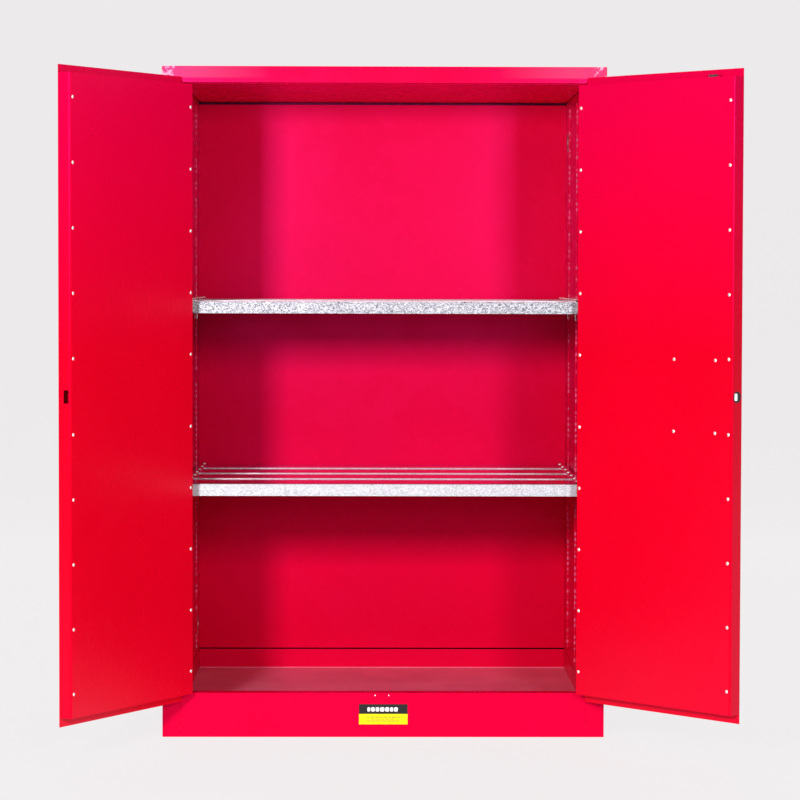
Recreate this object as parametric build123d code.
"""Flammable storage cabinet: double-wall steel body, two leaves on piano hinges, two shelves.

Millimetres. +Z is up, the front faces -Y, and the origin is at the centre of the footprint on the floor.
Each sub-part is written to parts/NODE.step at its place with both leaves standing open.
"""
import os

from build123d import *

# ---- whole cabinet -------------------------------------------------------------------------------
WIDTH = 1090.0
DEPTH = 860.0
HEIGHT = 1650.0
SHEET = 1.2  # gauge of every steel sheet
WALL = 44.0  # outer face to inner face of a side wall
SEAM = 0.3  # gap where two sheets of the body meet
FRONT = -DEPTH / 2
BACK = DEPTH / 2
JAMB = WIDTH / 2 - WALL  # half width of the door opening and of the inside
JAMB_DEPTH = 38.0
SILL_TOP = 109.5
OPEN_TOP = 1610.5
CEILING = 1610.0
CEILING_GAP = 3.0  # open joint along both sides of the ceiling sheet
INNER_BACK = FRONT + 818.0
BACK_TOP = 1603.5  # the inner back sheet stops short of the ceiling
BACK_FOOT = 118.0  # and a little above the rear upstand of the sump tray
BASE_Z = 24.0  # underside of the outer bottom sheet
SUMP_FLOOR = 63.0
SUMP_RIM = 114.5
SUMP_FRONT_RIM = 108.0  # the front upstand stays below the sill
REAR_LAP = 16.0
FOOT_FLANGE = 30.0  # width of the flange that each side stands on

# ---- leaves --------------------------------------------------------------------------------------
LEFT_OPEN = 121.4  # degrees open at rest
RIGHT_OPEN = 132.9
LEAF_DEPTH = 34.0
LEAF_GAP = 3.0  # between the two free edges when shut
LIP_BOTTOM = 89.0
LIP_TOP = 1623.0
BOX_BOTTOM = 111.0
BOX_TOP = 1603.5
SKIN_FRONT = FRONT - 0.4 - SHEET
PANEL_BACK = SKIN_FRONT + LEAF_DEPTH
FLANGE_BACK = PANEL_BACK - SHEET
LATCH_Z = 857.0

# ---- piano hinges --------------------------------------------------------------------------------
KNUCKLE_R = 3.5
PIN_R = 2.2
PIN_FIT = 0.07
KNUCKLES = 30
KNUCKLE_GAP = 0.5
HINGE_X = JAMB - KNUCKLE_R
HINGE_Y = FRONT - 0.4 - KNUCKLE_R
HINGE_LEAF = 30.0
LEAF_WIDTH = HINGE_X - LEAF_GAP / 2

# ---- screws --------------------------------------------------------------------------------------
SCREW_HEAD_R = 4.0
SCREW_HEAD_H = 2.0
SCREW_SHANK_R = 2.0
SCREW_HOLE_R = 2.1
SCREW_MIDDLE = 857.5
SCREW_HALF_GAP = 88.0  # from the middle to the nearest screw
SCREW_PITCH = 150.5
SCREWS_EACH_HALF = 5
SCREW_HINGE_U = 11.0
SCREW_FREE_U = LEAF_WIDTH - 11.5

# ---- shelves -------------------------------------------------------------------------------------
SHELF_TOPS = {"lower": 622.5, "upper": 1074.0}
SHELF_T = 29.0
SHELF_HALF = 476.0
SHELF_FRONT = FRONT + 38.0
SHELF_REAR = FRONT + 806.0
SHELF_CORNER_R = 20.0
SHELF_RIM = 4.5  # height of the rolled rims of the front rail
RAIL_BACK = SHELF_FRONT + 20.0  # rear face of the front rail
PLANK_SEAMS = (FRONT + 227.0, FRONT + 432.0, FRONT + 636.0)
PLANK_GAP = 1.0
HEM_HEIGHT = 2.2  # raised hem along the front edge of a plank
HEM_THICK = 2.4
RAIL_OUTER = 497.2
RAIL_STEP = 5.2  # side rails stand this far above the deck
RIVETS = 7
RIVET_FIRST = FRONT + 83.0
RIVET_PITCH = 111.7
RIVET_X = 483.0

# ---- notched standards and clips -----------------------------------------------------------------
STANDARD_Y = [FRONT + 125.0, FRONT + 402.5, FRONT + 680.0]
STANDARD_W = 25.0
STANDARD_T = 3.0
STANDARD_Z = (135.0, 1585.0)
NOTCH_PITCH = 15.0
NOTCH_H = 6.0
NOTCH_DEEP = 5.0
CLIP_GAP = 0.3

# ---- latch ---------------------------------------------------------------------------------------
SPINDLE_U = 379.5
ROD_U = 424.0
ROD_Y = FRONT + 18.1
HEAD_Y = FRONT + 21.1
ROD_R = 5.0
SPINDLE_R = 8.0
CAM_R = 31.0
CAM_Y = (FRONT + 12.0, FRONT + 15.0)
PLATE_Y = (FRONT + 16.1, FRONT + 20.1)  # layer of the rod feet and the bolt bar
LATCH_TRAVEL = 9.0
PIN_CIRCLE = 14.0
CAM_PIN_R = 2.5
CAM_SLOT_W = 6.2
LATCH_SCREW_U = (315.6, 443.5)
LATCH_SCREW_Z = (771.3, 942.3)
BOLT_Y = FRONT + 19.6
PIN_LUG = 5.0  # metal around a cam pin towards the spindle
BOLT_HOLE_R = 13.5
BOLT_HOLE_Y = SKIN_FRONT + 17.0
BOLT_HALF_Y = 5.0  # half thickness and half height of the bolt's nose
BOLT_HALF_Z = 8.0
BUSH_GAP = 0.3
HEAD_REST_TOP = OPEN_TOP - 0.7
HEAD_REST_BOTTOM = SILL_TOP + 0.7

# ---- vents, feet, earth stud, label --------------------------------------------------------------
VENTS = {"left": (322.0, 190.0), "right": (322.0, 1500.0)}  # y and z of each vent
VENT_R = 29.0
VENT_BORE_R = 25.0
VENT_SEAT = 20.0  # depth of the wide mouth inside the cabinet
VENT_NECK_R = 23.0  # bore beyond the mouth
VENT_HOLE_R = 29.3
FOOT_X = 480.0
FOOT_Y = 370.0
FOOT_PAD_R = 20.0
FOOT_STUD_R = 5.0
EARTH_Y = 345.0
EARTH_Z = 130.0
LABEL_HALF = 60.0
LABEL_Z = (31.5, 81.5)


def block(x0, x1, y0, y1, z0, z1):
    """A box between two corners, given in any order."""
    centre = Pos((x0 + x1) / 2, (y0 + y1) / 2, (z0 + z1) / 2)
    return centre * Box(abs(x1 - x0), abs(y1 - y0), abs(z1 - z0))


def rod_x(x0, x1, y, z, radius):
    """A cylinder along X."""
    return Pos((x0 + x1) / 2, y, z) * Rot(0, 90, 0) * Cylinder(radius, abs(x1 - x0))


def rod_y(y0, y1, x, z, radius):
    """A cylinder along Y."""
    return Pos(x, (y0 + y1) / 2, z) * Rot(90, 0, 0) * Cylinder(radius, abs(y1 - y0))


def rod_z(z0, z1, x, y, radius):
    """A cylinder along Z."""
    return Pos(x, y, (z0 + z1) / 2) * Cylinder(radius, abs(z1 - z0))


def upright_edges(shape, x, y):
    """The vertical edges of a shape that stand at x, y."""
    found = []
    for edge in shape.edges().filter_by(Axis.Z):
        middle = edge.position_at(0.5)
        if abs(middle.X - x) < 0.01 and abs(middle.Y - y) < 0.01:
            found.append(edge)
    return found


def group(solids):
    """Separate solids in one node."""
    return Compound(children=list(solids))


def save(name, shape):
    export_step(shape, f"parts/{name}.step")


# ---- body ----------------------------------------------------------------------------------------
def outer_side(side, vent):
    """Side sheet with its front stile, jamb flange, rear lap and foot flange."""
    face = side * WIDTH / 2
    panel = block(face, face - side * SHEET, FRONT, BACK, 0, HEIGHT)
    panel += block(face, side * JAMB, FRONT, FRONT + SHEET, 0, HEIGHT)
    jamb_z = (BASE_Z + SHEET + SEAM, HEIGHT - SHEET - SEAM)
    panel += block(side * JAMB, side * (JAMB + SHEET), FRONT, FRONT + JAMB_DEPTH, *jamb_z)
    panel += block(face, face - side * REAR_LAP, BACK - SHEET, BACK, 0, HEIGHT)
    panel += block(face, face - side * FOOT_FLANGE, FRONT, BACK, 0, SHEET)
    panel -= rod_x(face - side * 10, face + side * 10, *vent, VENT_HOLE_R)
    panel = fillet(upright_edges(panel, face, FRONT), 2.0)
    return fillet(upright_edges(panel, face, BACK), 2.0)


def outer_back():
    """Back sheet behind the rear laps, with two shallow stiffening swages."""
    half = WIDTH / 2 - SHEET - SEAM
    rear = BACK - SHEET - SEAM / 2
    top = HEIGHT - SHEET - SEAM
    sheet = block(-half, half, rear - SHEET, rear, SHEET, top)
    for z in (HEIGHT / 3, 2 * HEIGHT / 3):
        sheet += block(-half + 40, half - 40, rear - SHEET - 4, rear - SHEET, z - 15, z + 15)
        sheet -= block(-half + 42, half - 42, rear - 4, rear + 1, z - 13, z + 13)
    return sheet


def outer_top():
    half = WIDTH / 2 - SHEET - SEAM
    rear = BACK - 2 * SHEET - 2 * SEAM
    return block(-half, half, FRONT + SHEET + SEAM, rear, HEIGHT - SHEET, HEIGHT)


def outer_base():
    """Bottom sheet with a skid under its middle and the weld nuts that the levelling feet screw into."""
    half = WIDTH / 2 - SHEET - SEAM
    rear = BACK - 2 * SHEET - 2 * SEAM
    sheet = block(-half, half, FRONT + SHEET + SEAM, rear, BASE_Z, BASE_Z + SHEET)
    skid = half - FOOT_FLANGE
    sheet += block(-skid, skid, -20, 20, 0, BASE_Z)
    sheet -= block(-skid - 1, skid + 1, -20 + SHEET, 20 - SHEET, SHEET, BASE_Z)
    for x in (-FOOT_X, FOOT_X):
        for y in (-FOOT_Y, FOOT_Y):
            nut = extrude(RegularPolygon(9.5, 6), 10.0)
            sheet += Pos(x, y, BASE_Z + SHEET) * nut
            sheet -= rod_z(BASE_Z - 1, BASE_Z + 15, x, y, FOOT_STUD_R + 0.3)
    return sheet


def rod_pocket(z0, z1):
    """Clearance for a latch head in the header or in the sill."""
    x = HINGE_X - ROD_U
    return block(x - 21, x + 21, HEAD_Y - 9, HEAD_Y + 9, z0, z1)


def header():
    """Channel above the opening: front band, set-back strip, and the flange that the leaves close under."""
    half = JAMB - SEAM
    step = OPEN_TOP + 9.0
    strip = FRONT + 1.5
    band = block(-half, half, FRONT, FRONT + SHEET, step, HEIGHT)
    band += block(-half, half, FRONT, FRONT + 25, HEIGHT - 2 * SHEET - SEAM, HEIGHT - SHEET - SEAM)
    band += block(-half, half, FRONT, strip + SHEET, step - SHEET, step)
    band += block(-half, half, strip, strip + SHEET, OPEN_TOP, step)
    band += block(-half, half, strip, FRONT + JAMB_DEPTH, OPEN_TOP, OPEN_TOP + SHEET)
    band += block(-half, half, FRONT + JAMB_DEPTH - SHEET, FRONT + JAMB_DEPTH, OPEN_TOP, OPEN_TOP + 14)
    return band - rod_pocket(OPEN_TOP - 1, OPEN_TOP + 5)


def plinth():
    """Front below the opening: face, sill flange with its turned-down edge, and laps behind the stiles."""
    half = JAMB - SEAM
    face = block(-half, half, FRONT, FRONT + SHEET, 0, SILL_TOP)
    face += block(-half, half, FRONT, FRONT + JAMB_DEPTH, SILL_TOP - SHEET, SILL_TOP)
    face += block(-half, half, FRONT + JAMB_DEPTH - SHEET, FRONT + JAMB_DEPTH, SILL_TOP - 14, SILL_TOP)
    face += block(-half, half, FRONT, FRONT + 20, 0, SHEET)
    for side in (-1, 1):
        lap_x = (side * (half - 6), side * (half + 12))
        face += block(*lap_x, FRONT + SHEET, FRONT + 2 * SHEET, SHEET + SEAM, BASE_Z - 1)
    return face - rod_pocket(SILL_TOP - 5, SILL_TOP + 1)


def inner_side(side, vent):
    z = (BASE_Z + SHEET + SEAM, CEILING + 2)
    sheet = block(side * JAMB, side * (JAMB + SHEET), FRONT + JAMB_DEPTH + SEAM, INNER_BACK + SHEET, *z)
    return sheet - rod_x(side * (JAMB - 5), side * (JAMB + 5), *vent, VENT_HOLE_R)


def inner_back():
    half = JAMB - SEAM
    return block(-half, half, INNER_BACK, INNER_BACK + SHEET, BACK_FOOT, BACK_TOP)


def inner_ceiling():
    half = JAMB - CEILING_GAP
    front = FRONT + JAMB_DEPTH + SEAM
    return block(-half, half, front, INNER_BACK + SHEET, CEILING, CEILING + SHEET)


def sump_tray():
    """Leakproof tray: floor with an upstand on all four sides, lower along the front."""
    half = JAMB - SEAM
    front = FRONT + JAMB_DEPTH + 1.2
    rear = INNER_BACK - SEAM
    tray = block(-half, half, front, rear, SUMP_FLOOR - SHEET, SUMP_RIM)
    tray -= block(-half + SHEET, half - SHEET, front + SHEET, rear - SHEET, SUMP_FLOOR, SUMP_RIM + 1)
    return tray - block(-half - 1, half + 1, front - 1, front + 6, SUMP_FRONT_RIM, SUMP_RIM + 1)


def shelf_standards(side):
    """Three uprights on one inner side wall, notched along their front edge."""
    z0, z1 = STANDARD_Z
    count = int((z1 - z0) // NOTCH_PITCH)
    first = (z0 + z1 - (count - 1) * NOTCH_PITCH) / 2
    reach = (side * (JAMB - STANDARD_T - 1), side * (JAMB + 1))
    strips = []
    for y in STANDARD_Y:
        front = y - STANDARD_W / 2
        strip = block(side * (JAMB - STANDARD_T), side * JAMB, front, front + STANDARD_W, z0, z1)
        notches = []
        for row in range(count):
            z = first + row * NOTCH_PITCH
            notches.append(block(*reach, front - 1, front + NOTCH_DEEP, z - NOTCH_H / 2, z + NOTCH_H / 2))
        strips.append(strip - notches)
    return group(strips)


def shelf_clips():
    """Angle clips on the standards that carry both shelves, three on each side of each shelf."""
    clips = []
    for top in SHELF_TOPS.values():
        z = top - SHELF_T - CLIP_GAP
        for side in (-1, 1):
            face = side * (JAMB - STANDARD_T)
            for y in STANDARD_Y:
                clip = block(face, face - side * 1.6, y - 10, y + 10, z - 22, z)
                clip += block(face, face - side * 15, y - 10, y + 10, z - 2.5, z)
                clips.append(clip)
    return group(clips)


# ---- hinges --------------------------------------------------------------------------------------
def knuckle_spans(first):
    """Heights of every second knuckle, starting from the first or the second."""
    start = BOX_BOTTOM + 1
    pitch = (BOX_TOP - 1 - start) / KNUCKLES
    return [(start + n * pitch, start + (n + 1) * pitch) for n in range(first, KNUCKLES, 2)]


def hinge_leaf(side, on_door):
    """One leaf of a piano hinge with its rolled knuckles, drawn with the leaf of the door shut."""
    toward = -side if on_door else side
    axis_x = side * HINGE_X
    inner = axis_x + toward * (KNUCKLE_R - SHEET)
    outer = axis_x + toward * KNUCKLE_R
    leaf = block(inner, outer, HINGE_Y, HINGE_Y + HINGE_LEAF, BOX_BOTTOM + 1, BOX_TOP - 1)
    for z0, z1 in knuckle_spans(0 if on_door else 1):
        z = (z0 - KNUCKLE_GAP, z1 + KNUCKLE_GAP)
        leaf -= block(axis_x - 5, axis_x + 5, HINGE_Y - 5, HINGE_Y + KNUCKLE_R + 0.6, *z)
    for z0, z1 in knuckle_spans(1 if on_door else 0):
        leaf += rod_z(z0 + KNUCKLE_GAP / 2, z1 - KNUCKLE_GAP / 2, axis_x, HINGE_Y, KNUCKLE_R)
    return leaf - rod_z(BOX_BOTTOM, BOX_TOP, axis_x, HINGE_Y, PIN_R + PIN_FIT)


def hinge_pin(side):
    pin = rod_z(BOX_BOTTOM - 1, BOX_TOP + 1, side * HINGE_X, HINGE_Y, PIN_R)
    for z0, z1 in ((BOX_BOTTOM - 1, BOX_BOTTOM + 0.5), (BOX_TOP - 0.5, BOX_TOP + 1)):
        pin += rod_z(z0, z1, side * HINGE_X, HINGE_Y, KNUCKLE_R - 0.3)
    return pin


# ---- leaves, drawn shut and then swung open ------------------------------------------------------
def leaf_x(side, u):
    """X of a point u mm from the hinge line of a shut leaf."""
    return side * (HINGE_X - u)


def leaf_block(side, u0, u1, y0, y1, z0, z1):
    return block(leaf_x(side, u0), leaf_x(side, u1), y0, y1, z0, z1)


def swing(side, shape):
    """Turn a shut leaf's piece about its hinge line to where it stands open."""
    angle = RIGHT_OPEN if side > 0 else -LEFT_OPEN
    return shape.rotate(Axis((side * HINGE_X, HINGE_Y, 0), (0, 0, 1)), angle)


def panel_screw_places():
    """u and z of the screws along both edges of an inner panel."""
    places = []
    for u in (SCREW_HINGE_U, SCREW_FREE_U):
        for half in (-1, 1):
            for n in range(SCREWS_EACH_HALF):
                places.append((u, SCREW_MIDDLE + half * (SCREW_HALF_GAP + n * SCREW_PITCH)))
    return places


def screw_holes(side, places, y0, y1, radius):
    return [rod_y(y0, y1, leaf_x(side, u), z, radius) for u, z in places]


def dome_screws(side, places, shank):
    """Low domed heads on the inner panel, each on a plain shank."""
    screws = []
    sphere_r = (SCREW_HEAD_R**2 + SCREW_HEAD_H**2) / (2 * SCREW_HEAD_H)
    for u, z in places:
        x = leaf_x(side, u)
        head = Pos(x, PANEL_BACK + SCREW_HEAD_H - sphere_r, z) * Sphere(sphere_r)
        head &= rod_y(PANEL_BACK, PANEL_BACK + SCREW_HEAD_H + 1, x, z, SCREW_HEAD_R)
        screws.append(head + rod_y(PANEL_BACK - shank, PANEL_BACK + 0.5, x, z, SCREW_SHANK_R))
    return group(screws)


def door_skin(side):
    """Outer sheet of a leaf: face with lips at top and bottom, and a folded return along both edges."""
    skin = leaf_block(side, KNUCKLE_R, LEAF_WIDTH, SKIN_FRONT, SKIN_FRONT + SHEET, LIP_BOTTOM, LIP_TOP)
    box_z = (BOX_BOTTOM, BOX_TOP)
    hinge_u, free_u = KNUCKLE_R, LEAF_WIDTH
    skin += leaf_block(side, hinge_u, hinge_u + SHEET, SKIN_FRONT, FLANGE_BACK, *box_z)
    skin += leaf_block(side, free_u - SHEET, free_u, SKIN_FRONT, FLANGE_BACK, *box_z)
    skin += leaf_block(side, hinge_u, hinge_u + 18, FLANGE_BACK - SHEET, FLANGE_BACK, *box_z)
    skin += leaf_block(side, free_u - 20, free_u, FLANGE_BACK - SHEET, FLANGE_BACK, *box_z)
    skin -= screw_holes(side, panel_screw_places(), FLANGE_BACK - 3, FLANGE_BACK + 1, SCREW_HOLE_R)
    if side > 0:
        x = leaf_x(side, free_u)
        skin -= rod_x(x - 3, x + 3, BOLT_HOLE_Y, LATCH_Z, BOLT_HOLE_R)
        skin -= rod_y(SKIN_FRONT - 1, SKIN_FRONT + 3, leaf_x(side, SPINDLE_U), LATCH_Z, 12.3)
    else:
        slot_y = (SKIN_FRONT + 14.4, SKIN_FRONT + 28.7)
        skin -= leaf_block(side, free_u - 3, free_u + 1, *slot_y, LATCH_Z - 15.2, LATCH_Z + 15.2)
    fold = upright_edges(skin, leaf_x(side, free_u), FLANGE_BACK)
    fold += upright_edges(skin, leaf_x(side, hinge_u), FLANGE_BACK)
    return fillet(fold, 2.4)


def door_panel(side):
    """Inner sheet of a leaf, screwed to the folded edges, with a flange across the top and the bottom."""
    u = (KNUCKLE_R + 0.5, LEAF_WIDTH - 4.5)
    flange_u = (KNUCKLE_R + SHEET + 0.4, LEAF_WIDTH - SHEET - 0.4)
    flange_y = (SKIN_FRONT + SHEET + 0.2, PANEL_BACK - SHEET)
    panel = leaf_block(side, *u, PANEL_BACK - SHEET, PANEL_BACK, BOX_BOTTOM, BOX_TOP)
    clear_of_skin = (FLANGE_BACK - SHEET - 0.1, FLANGE_BACK + 0.05)
    for z0, z1 in ((BOX_BOTTOM, BOX_BOTTOM + SHEET), (BOX_TOP - SHEET, BOX_TOP)):
        flange = leaf_block(side, *flange_u, *flange_y, z0, z1)
        flange -= leaf_block(side, 0, KNUCKLE_R + 18.2, *clear_of_skin, z0 - 1, z1 + 1)
        flange -= leaf_block(side, LEAF_WIDTH - 20.2, LEAF_WIDTH + 1, *clear_of_skin, z0 - 1, z1 + 1)
        panel += flange
    holes = panel_screw_places()
    if side > 0:
        holes += [(u, z) for u in LATCH_SCREW_U for z in LATCH_SCREW_Z]
        for z in (BOX_BOTTOM, BOX_TOP):
            x = leaf_x(side, ROD_U)
            panel -= block(x - 18.5, x + 18.5, HEAD_Y - 8, HEAD_Y + 8, z - 3, z + 3)
    return panel - screw_holes(side, holes, PANEL_BACK - 2, PANEL_BACK + 1, SCREW_HOLE_R)


def door_stiffeners(side):
    """Two hat channels inside a leaf."""
    channels = []
    front = SKIN_FRONT + SHEET
    rear = FLANGE_BACK - SHEET
    for u in (150.0, 270.0):
        channel = leaf_block(side, u - 20, u + 20, front, rear, BOX_BOTTOM + 40, BOX_TOP - 40)
        bore = leaf_block(side, u - 20 + SHEET, u + 20 - SHEET, front + SHEET, rear + 1, 0, HEIGHT)
        channels.append(channel - bore)
    return group(channels)


# ---- latch of the right leaf ---------------------------------------------------------------------
def cam_point(start_angle, turn):
    """Centre of a cam pin in the cam's own frame after the handle has turned by so many degrees."""
    radius = PIN_CIRCLE + LATCH_TRAVEL * turn / 90.0
    return Vector(radius, 0).rotate(Axis.Z, start_angle + turn)


def latch_cam():
    """Disc with three spiral slots, which push the two rods and the side bolt out together."""
    disc = Circle(CAM_R)
    for start_angle in (90.0, 180.0, 270.0):
        arc = ThreePointArc(*[cam_point(start_angle, turn) for turn in (0, 45, 90)])
        disc -= SlotArc(arc, CAM_SLOT_W)
    disc -= Circle(SPINDLE_R)
    plate = extrude(disc, CAM_Y[1] - CAM_Y[0])
    return Pos(leaf_x(1, SPINDLE_U), CAM_Y[1], LATCH_Z) * Rot(90, 0, 0) * plate


def cam_pin(x, z):
    return rod_y(CAM_Y[0] - 1.5, PLATE_Y[0] + 1, x, z, CAM_PIN_R)


def latch_rod(up):
    """Vertical rod with its tapered head and the cranked foot that its cam pin stands on."""
    x = leaf_x(1, ROD_U)
    pin_x = leaf_x(1, SPINDLE_U)
    pin_z = LATCH_Z + up * PIN_CIRCLE
    tip = HEAD_REST_TOP if up > 0 else HEAD_REST_BOTTOM
    head_root = tip - up * 30.0
    foot_z = (pin_z - up * PIN_LUG, pin_z + up * 7)
    foot = block(x - 7, pin_x + 7, *PLATE_Y, *foot_z)
    rod = foot + rod_z(pin_z, head_root + up, x, ROD_Y, ROD_R)
    outline = Polyline((-16, 0), (-16, 18), (-10, 30), (10, 30), (16, 18), (16, 0), close=True)
    head = extrude(make_face(outline), 6, both=True)
    turn = Rot(90, 0, 0) if up > 0 else Rot(-90, 0, 0)
    rod += Pos(x, HEAD_Y, head_root) * turn * head
    return rod + cam_pin(pin_x, pin_z)


def side_bolt():
    """Bar with a rounded nose that leaves the free edge of the right leaf."""
    pin_x = leaf_x(1, SPINDLE_U) - PIN_CIRCLE
    tip = leaf_x(1, LEAF_WIDTH) - 1.2
    bar = block(tip + 20, pin_x + PIN_LUG, *PLATE_Y, LATCH_Z - 6.4, LATCH_Z + 6.4)
    nose_y = (BOLT_Y - BOLT_HALF_Y, BOLT_Y + BOLT_HALF_Y)
    nose = block(tip, tip + 26, *nose_y, LATCH_Z - BOLT_HALF_Z, LATCH_Z + BOLT_HALF_Z)
    nose = chamfer(nose.edges().filter_by(Axis.Z).sort_by(Axis.X)[:2].sort_by(Axis.Y)[-1:], 6.0)
    return bar + nose + cam_pin(pin_x, LATCH_Z)


def bolt_bush():
    """Black bush in the free edge of the right leaf, which guides the bolt's nose."""
    edge = leaf_x(1, LEAF_WIDTH)
    bush = rod_x(edge - 0.4, edge + 6, BOLT_HOLE_Y, LATCH_Z, BOLT_HOLE_R - BUSH_GAP)
    hole_y = (BOLT_Y - BOLT_HALF_Y - BUSH_GAP, BOLT_Y + BOLT_HALF_Y + BUSH_GAP)
    half_z = BOLT_HALF_Z + BUSH_GAP
    return bush - block(edge - 2, edge + 8, *hole_y, LATCH_Z - half_z, LATCH_Z + half_z)


def latch_plate():
    """Mounting plate behind the cam, on four spacers."""
    x = leaf_x(1, SPINDLE_U)
    plate = block(x - 70, x + 70, FRONT + 24, FRONT + 26, LATCH_Z - 93, LATCH_Z + 93)
    plate -= rod_y(FRONT + 20, FRONT + 30, x, LATCH_Z, 6.1)
    for u in LATCH_SCREW_U:
        for z in LATCH_SCREW_Z:
            plate += rod_y(FRONT + 26, FLANGE_BACK - 0.1, leaf_x(1, u), z, 5.0)
            plate -= rod_y(FRONT + 20, FLANGE_BACK + 1, leaf_x(1, u), z, SCREW_HOLE_R)
    return plate


def rod_guides():
    """Nylon blocks that the two rods slide through."""
    x = leaf_x(1, ROD_U)
    guides = []
    for z in (165.0, 700.0, 1010.0, 1535.0):
        guide = block(x - 12, x + 12, SKIN_FRONT + SHEET, ROD_Y + 12, z - 8, z + 8)
        guides.append(guide - rod_z(z - 9, z + 9, x, ROD_Y, ROD_R + 0.3))
    return group(guides)


def handle_escutcheon():
    """Plate on the outside of the right leaf with the bearing for the handle's spindle."""
    x = leaf_x(1, SPINDLE_U)
    plate = extrude(RectangleRounded(54, 124, 12), 5.0)
    plate = fillet(plate.faces().sort_by(Axis.Z)[-1].edges(), 2.0)
    plate = Pos(x, SKIN_FRONT, LATCH_Z) * Rot(90, 0, 0) * plate
    plate += rod_y(SKIN_FRONT, SKIN_FRONT + 8, x, LATCH_Z, 12.0)
    return plate - rod_y(SKIN_FRONT - 10, SKIN_FRONT + 10, x, LATCH_Z, SPINDLE_R + 0.08)


def turn_handle():
    """Cast lever with its hub and spindle, pointing at the hinge when the latch is drawn in."""
    x = leaf_x(1, SPINDLE_U)
    hub_back = SKIN_FRONT - 5.4
    hub_front = hub_back - 20.0
    hub = Cone(18, 15, 20, align=(Align.CENTER, Align.CENTER, Align.MIN))
    hub = Pos(x, hub_back, LATCH_Z) * Rot(90, 0, 0) * hub
    outline = Polyline((0, -11), (92, -9), (112, -6), (112, 6), (92, 9), (0, 11), close=True)
    grip = extrude(fillet(make_face(outline).vertices().sort_by(Axis.X)[-4:], 5.0), 11.0)
    grip = Pos(x, hub_front + 13, LATCH_Z) * Rot(90, 0, 0) * grip
    lever = hub + grip
    lever = fillet(lever.faces().sort_by(Axis.Y)[0].outer_wire().edges(), 2.0)
    lever += rod_y(hub_back, FRONT + 23.5, x, LATCH_Z, SPINDLE_R)
    lever += rod_y(FRONT + 23, FRONT + 27, x, LATCH_Z, 6.0)
    return lever - rod_y(hub_front - 1, hub_front + 15, x, LATCH_Z, 7.06)


def lock_barrel():
    """Key cylinder in the hub of the handle."""
    x = leaf_x(1, SPINDLE_U)
    face = SKIN_FRONT - 26.4
    barrel = rod_y(face, face + 15, x, LATCH_Z, 7.0)
    return barrel - block(x - 0.6, x + 0.6, face - 1, face + 4, LATCH_Z - 4.5, LATCH_Z + 4.5)


# ---- shelves -------------------------------------------------------------------------------------
def shelf_plan(inset):
    """Outline of the front rail seen from above, with rounded front corners."""
    half = RAIL_OUTER - inset
    front = SHELF_FRONT + inset
    rear = RAIL_BACK + inset
    plan = make_face(Polyline((-half, front), (half, front), (half, rear), (-half, rear), close=True))
    return fillet(plan.vertices().sort_by(Axis.Y)[:2], SHELF_CORNER_R - inset)


def shelf_front_rail(top):
    """Galvanised front rail: a hollow channel with a rolled rim along its top and its bottom."""
    bottom = top - SHELF_T
    rail = Pos(0, 0, bottom) * extrude(shelf_plan(0), SHELF_T)
    rim = shelf_plan(0) - shelf_plan(1.0)
    rail -= Pos(0, 0, bottom + SHELF_RIM) * extrude(rim, SHELF_T - 2 * SHELF_RIM)
    rail -= Pos(0, 0, bottom + SHEET) * extrude(shelf_plan(2.2), SHELF_T - 2 * SHEET)
    return rail - block(-RAIL_OUTER - 1, RAIL_OUTER + 1, RAIL_BACK, RAIL_BACK + 10, 0, HEIGHT)


def shelf_deck(top):
    """Deck of galvanised planks: sheets with turned-down edges, all but the first with a raised hem."""
    starts = (RAIL_BACK + 0.2, *PLANK_SEAMS)
    ends = (*PLANK_SEAMS, SHELF_REAR + PLANK_GAP)
    planks = []
    for y0, y1 in zip(starts, ends):
        y1 -= PLANK_GAP
        plank = block(-SHELF_HALF, SHELF_HALF, y0, y1, top - 25, top)
        bore = block(-SHELF_HALF, SHELF_HALF, y0 + SHEET, y1 - SHEET, top - 26, top - SHEET)
        plank -= bore
        plank = fillet(plank.edges().filter_by(Axis.X).sort_by(Axis.Z)[-2:], 1.0)
        if y0 in PLANK_SEAMS:
            hem = block(-SHELF_HALF, SHELF_HALF, y0, y0 + HEM_THICK, top - 1.1, top + HEM_HEIGHT)
            plank += fillet(hem.edges().filter_by(Axis.X).sort_by(Axis.Z)[-2:], 1.0)
        planks.append(plank)
    return group(planks)


def shelf_side_rails(top):
    """Box channels along both ends of a deck, which rest on the clips."""
    rails = []
    for side in (-1, 1):
        z = (top - SHELF_T, top + RAIL_STEP)
        y = (RAIL_BACK + 0.2, SHELF_REAR)
        inner = side * SHELF_HALF
        outer = side * RAIL_OUTER
        rail = block(inner, outer, *y, *z)
        bore_x = (inner + side * SHEET, outer - side * SHEET)
        rail -= block(*bore_x, y[0] - 1, y[1] + 1, z[0] + SHEET, z[1] - SHEET)
        rails.append(fillet(rail.edges().filter_by(Axis.Y).sort_by(Axis.Z)[-2:], 0.9))
    return group(rails)


def shelf_rivets(top):
    rivets = []
    for side in (-1, 1):
        for n in range(RIVETS):
            z = top + RAIL_STEP
            head = rod_z(z, z + 1.8, side * RIVET_X, RIVET_FIRST + n * RIVET_PITCH, SCREW_HEAD_R)
            rivets.append(fillet(head.faces().sort_by(Axis.Z)[-1].edges(), 1.4))
    return group(rivets)


# ---- vents, feet, earth stud, label --------------------------------------------------------------
def vent_body(side, vent):
    """Tube through both walls with a flange outside and a wide mouth flush with the inner wall."""
    outer = side * WIDTH / 2
    inner = side * JAMB
    tube = rod_x(inner, outer + side * 12, *vent, VENT_R)
    tube += rod_x(outer, outer + side * 3, *vent, 42.0)
    tube -= rod_x(inner, outer + side * 20, *vent, VENT_NECK_R)
    return tube - rod_x(inner - side * 10, inner + side * VENT_SEAT, *vent, VENT_BORE_R)


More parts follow.
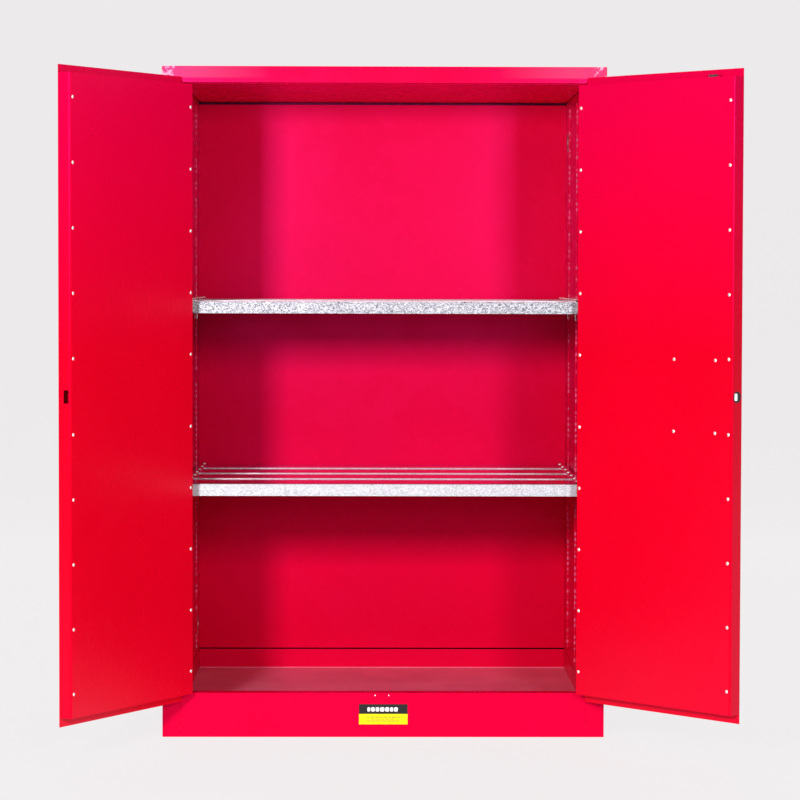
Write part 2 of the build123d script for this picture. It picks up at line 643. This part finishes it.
def flame_arrester(side, vent):
    """Perforated disc held inside the vent tube."""
    y, z = vent
    middle = side * (WIDTH / 2 - 20)
    disc = rod_x(middle - 1.5, middle + 1.5, y, z, VENT_NECK_R - 0.05)
    holes = [rod_x(middle - 3, middle + 3, y + p.Y, z + p.X, 2.4) for p in arrester_points()]
    return disc - holes


def arrester_points():
    """Centres of the arrester's holes on a triangular grid inside its rim."""
    points = []
    for row in range(-3, 4):
        for column in range(-3, 4):
            point = Vector((column + 0.5 * (row % 2)) * 6.6, row * 5.7)
            if point.length < 20:
                points.append(point)
    return points


def vent_cap(side, vent):
    """Screw cap over the outer end of a vent, with a hexagon to turn it by."""
    face = side * (WIDTH / 2 + 3.4)
    cap = rod_x(face, face + side * 13, *vent, 34.0)
    cap -= rod_x(face - side, face + side * 9.4, *vent, VENT_R + 0.4)
    lug = extrude(RegularPolygon(16, 6), 8.0)
    turned = Rot(0, 90, 0) if side > 0 else Rot(0, -90, 0)
    return cap + Pos(face + side * 13, *vent) * turned * lug


def earth_stud():
    """Earthing stud low on the right side, with its washer and wing nut."""
    face = WIDTH / 2
    stud = rod_x(face, face + 34, EARTH_Y, EARTH_Z, 4.0)
    stud += rod_x(face, face + 2, EARTH_Y, EARTH_Z, 10.0)
    stud += rod_x(face + 2, face + 10, EARTH_Y, EARTH_Z, 7.0)
    for half in (-1, 1):
        y = (EARTH_Y + half * 5, EARTH_Y + half * 16)
        stud += block(face + 3, face + 10, *y, EARTH_Z - 2, EARTH_Z + 2)
    return stud


def levelling_foot(x, y):
    """Foot pad on a stud, wound up clear of the floor."""
    pad = rod_z(1.0, 8.0, x, y, FOOT_PAD_R)
    pad = chamfer(pad.faces().sort_by(Axis.Z)[-1].edges(), 2.0)
    pad += Pos(x, y, 8.0) * extrude(RegularPolygon(9.0, 6), 6.0)
    return pad + rod_z(8.0, 58.0, x, y, FOOT_STUD_R)


def safety_label():
    return block(-LABEL_HALF, LABEL_HALF, FRONT - 0.3, FRONT, *LABEL_Z)


def main():
    os.makedirs("parts", exist_ok=True)
    sides = {"left": -1, "right": 1}
    for name, side in sides.items():
        vent = VENTS[name]
        save(f"outer_side_{name}", outer_side(side, vent))
        save(f"inner_side_{name}", inner_side(side, vent))
        save(f"shelf_standards_{name}", shelf_standards(side))
        save(f"hinge_frame_leaf_{name}", hinge_leaf(side, on_door=False))
        save(f"hinge_pin_{name}", hinge_pin(side))
        save(f"hinge_door_leaf_{name}", swing(side, hinge_leaf(side, on_door=True)))
        save(f"door_skin_{name}", swing(side, door_skin(side)))
        save(f"door_panel_{name}", swing(side, door_panel(side)))
        save(f"door_stiffeners_{name}", swing(side, door_stiffeners(side)))
        save(f"door_screws_{name}", swing(side, dome_screws(side, panel_screw_places(), 4.0)))
        save(f"vent_body_{name}", vent_body(side, vent))
        save(f"flame_arrester_{name}", flame_arrester(side, vent))
        save(f"vent_cap_{name}", vent_cap(side, vent))
        for end, y in (("front", -FOOT_Y), ("rear", FOOT_Y)):
            save(f"levelling_foot_{name}_{end}", levelling_foot(side * FOOT_X, y))
    save("outer_back", outer_back())
    save("outer_top", outer_top())
    save("outer_base", outer_base())
    save("header", header())
    save("plinth", plinth())
    save("inner_back", inner_back())
    save("inner_ceiling", inner_ceiling())
    save("sump_tray", sump_tray())
    save("shelf_clips", shelf_clips())
    save("earth_stud", earth_stud())
    save("safety_label", safety_label())
    latch_screws = [(u, z) for u in LATCH_SCREW_U for z in LATCH_SCREW_Z]
    save("latch_screws", swing(1, dome_screws(1, latch_screws, 10.0)))
    save("latch_plate", swing(1, latch_plate()))
    save("latch_cam", swing(1, latch_cam()))
    save("top_rod", swing(1, latch_rod(1)))
    save("bottom_rod", swing(1, latch_rod(-1)))
    save("side_bolt", swing(1, side_bolt()))
    save("bolt_bush", swing(1, bolt_bush()))
    save("rod_guides", swing(1, rod_guides()))
    save("handle_escutcheon", swing(1, handle_escutcheon()))
    save("turn_handle", swing(1, turn_handle()))
    save("lock_barrel", swing(1, lock_barrel()))
    for name, top in SHELF_TOPS.items():
        save(f"{name}_shelf_deck", shelf_deck(top))
        save(f"{name}_shelf_front_rail", shelf_front_rail(top))
        save(f"{name}_shelf_side_rails", shelf_side_rails(top))
        save(f"{name}_shelf_rivets", shelf_rivets(top))


main()
